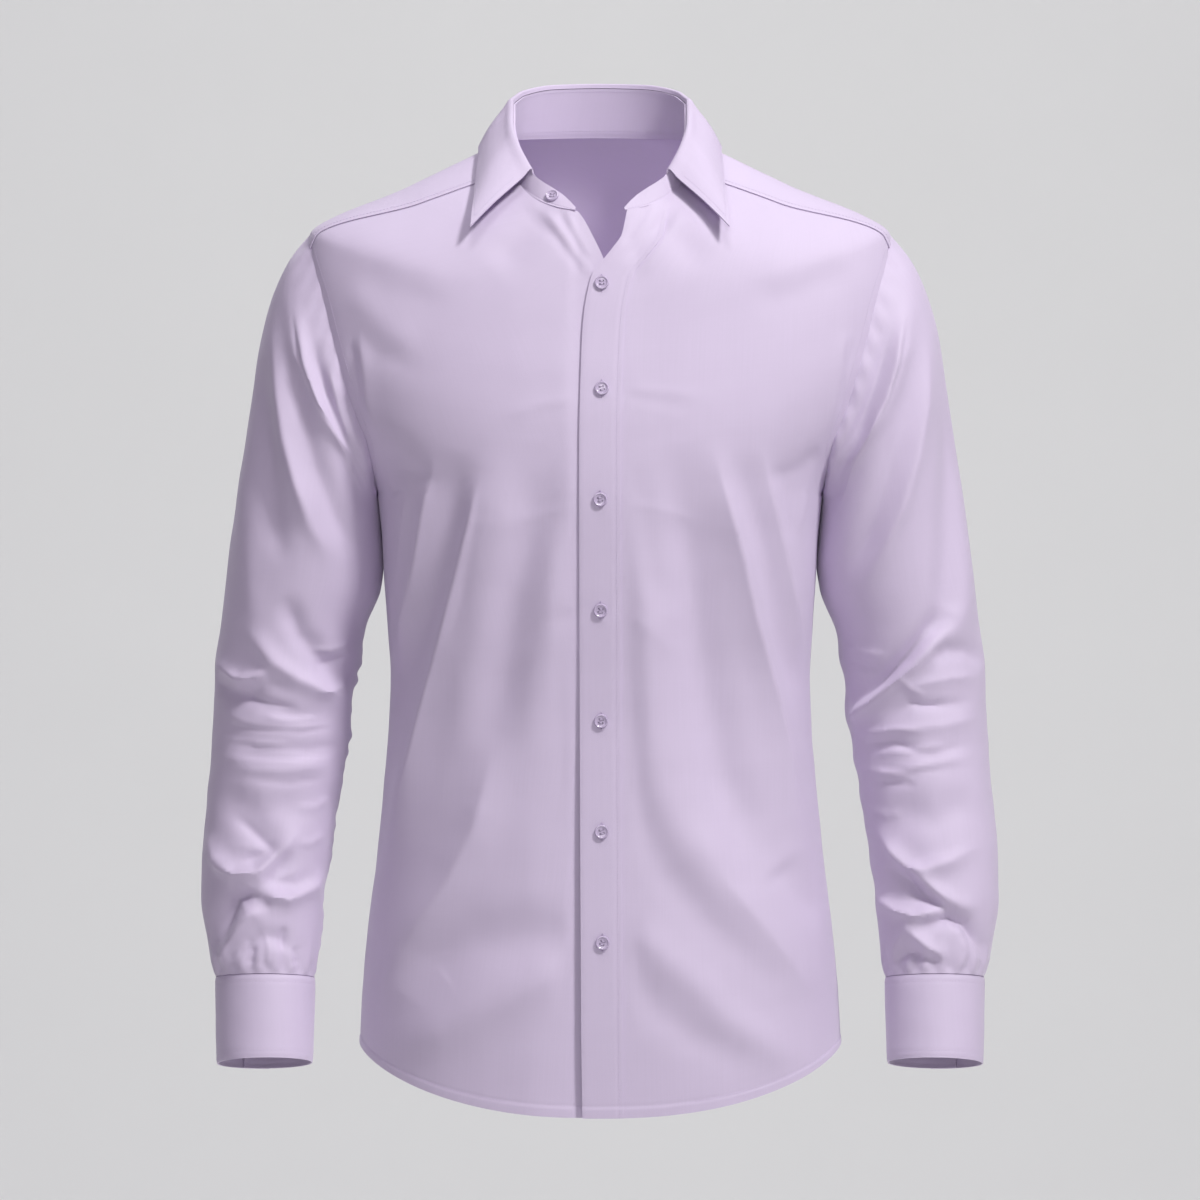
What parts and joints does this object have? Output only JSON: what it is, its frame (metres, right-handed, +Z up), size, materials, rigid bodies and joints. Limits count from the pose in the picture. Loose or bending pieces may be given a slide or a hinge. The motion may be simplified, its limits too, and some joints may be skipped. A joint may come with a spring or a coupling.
{
  "type": "long sleeve dress shirt",
  "caption": "Long sleeve button-front dress shirt, filled out as if worn, with a turned-down pointed collar open at the neck, barrel cuffs and a curved hem.",
  "frame": {"origin": "middle of the neck, level with the shoulder line where it meets the collar", "axes": "+Z up, +X to the wearer's left, the front faces -Y"},
  "size_m": [0.624, 0.245, 0.8236],
  "materials": {
    "shirt_cloth": "smooth fine cotton weave with a soft sheen, pale lilac",
    "band_cloth": "the same cotton in stiffened layers",
    "button": "polished, pale lilac"
  },
  "bodies": {
    "root": {"front_left": "shirt_cloth", "front_right": "shirt_cloth", "back": "shirt_cloth", "yoke": "shirt_cloth", "sleeve_left": "shirt_cloth", "sleeve_right": "shirt_cloth", "sleeve_placket_left": "shirt_cloth", "sleeve_placket_right": "shirt_cloth", "collar_leaf": "shirt_cloth", "placket": "band_cloth", "cuff_left": "band_cloth", "cuff_right": "band_cloth", "collar_stand": "band_cloth", "button_1": "button", "button_2": "button", "button_3": "button", "button_4": "button", "button_5": "button", "button_6": "button", "button_7": "button", "button_collar": "button", "button_cuff_left": "button", "button_cuff_right": "button"}
  },
  "joints": []
}
